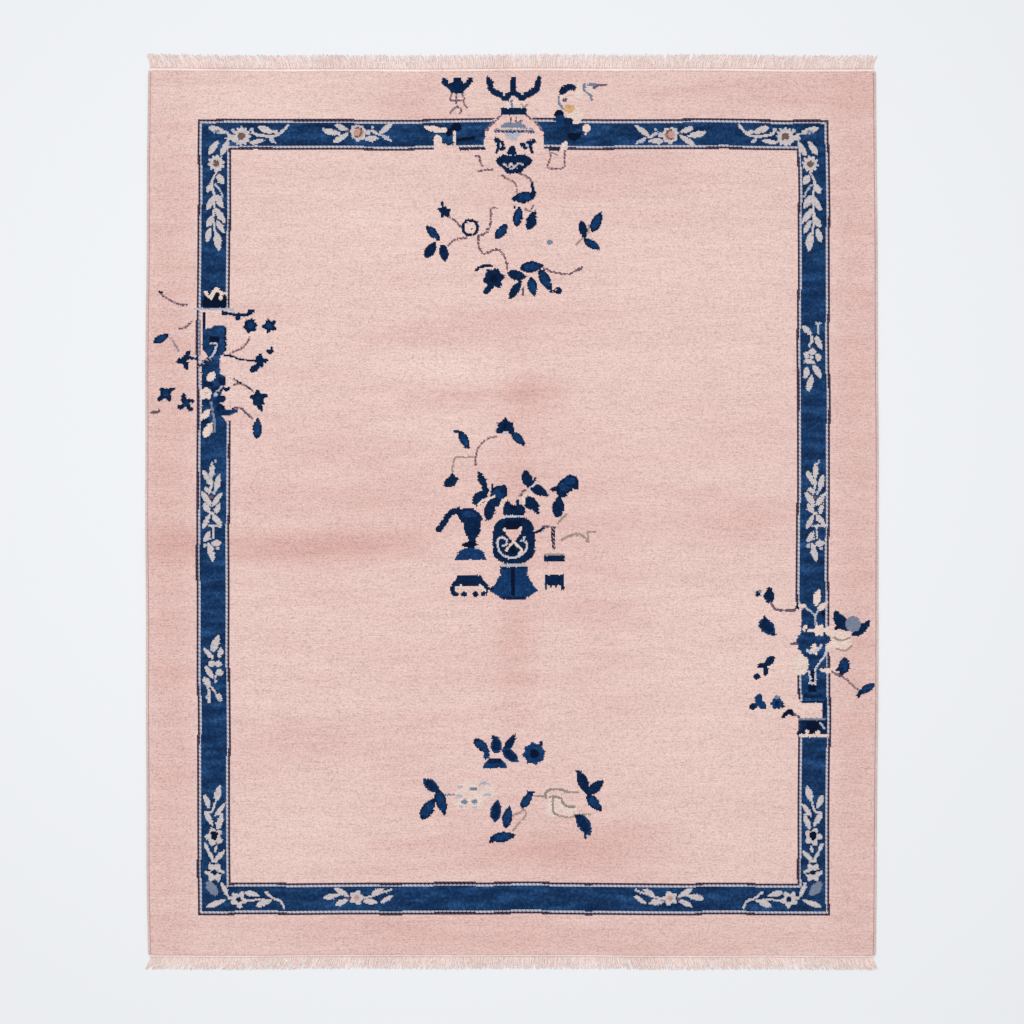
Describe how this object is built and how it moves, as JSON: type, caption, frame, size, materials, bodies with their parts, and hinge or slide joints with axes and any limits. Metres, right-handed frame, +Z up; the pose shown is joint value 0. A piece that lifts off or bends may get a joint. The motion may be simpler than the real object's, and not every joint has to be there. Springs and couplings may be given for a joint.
{
  "type": "chinese art deco rug",
  "caption": "Flat hand-knotted wool room rug with a bordered floral pile field, flat-woven end bands, a fringe at both ends and wrapped side cords.",
  "frame": {"origin": "on the floor plane, under the centre of the rug's outline with its fringes", "axes": "+Z up out of the pile, +Y along the rug's length towards the end that the central vase points to, +X across its width"},
  "size_m": [2.4385, 3.0492, 0.012],
  "materials": {
    "pile_wool": "cut wool pile, soft pink ground with blue borders and motifs",
    "side_cord_wool": "wool overcasting on a round cord",
    "band_cotton": "plain flat-woven cotton",
    "fringe_cotton": "twisted cotton warp ends"
  },
  "bodies": {
    "root": {"pile_body": "pile_wool", "woven_band_north": "band_cotton", "woven_band_south": "band_cotton", "fringe_north": "fringe_cotton", "fringe_south": "fringe_cotton", "side_cord_west": "side_cord_wool", "side_cord_east": "side_cord_wool"}
  },
  "joints": []
}
